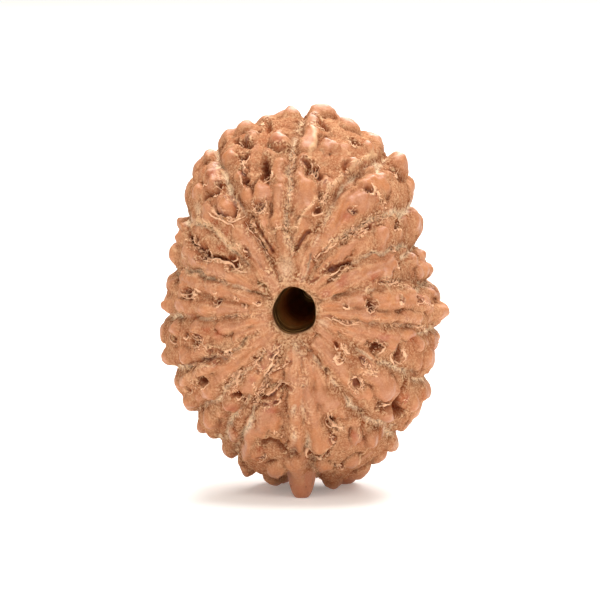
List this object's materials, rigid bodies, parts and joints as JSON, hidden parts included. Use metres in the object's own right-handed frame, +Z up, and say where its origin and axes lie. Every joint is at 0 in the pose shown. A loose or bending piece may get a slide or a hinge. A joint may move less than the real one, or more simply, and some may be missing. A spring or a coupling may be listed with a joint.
{
  "type": "rudraksha bead",
  "caption": "Oval woody fruit stone with clefts running from a through-bore out over its edge and knobbly faces between them.",
  "frame": {"origin": "middle of the bead's box, at the level that it rests on", "axes": "+Z up along the bead's longest side, +Y along the bore from the front mouth to the back mouth, +X to the right of the front"},
  "size_m": [0.0281, 0.0256, 0.0374],
  "materials": {
    "bead": "matt, dusty in the clefts, with a faint satin sheen on the nodules' tops"
  },
  "bodies": {
    "root": {"bead": "bead"}
  },
  "joints": []
}
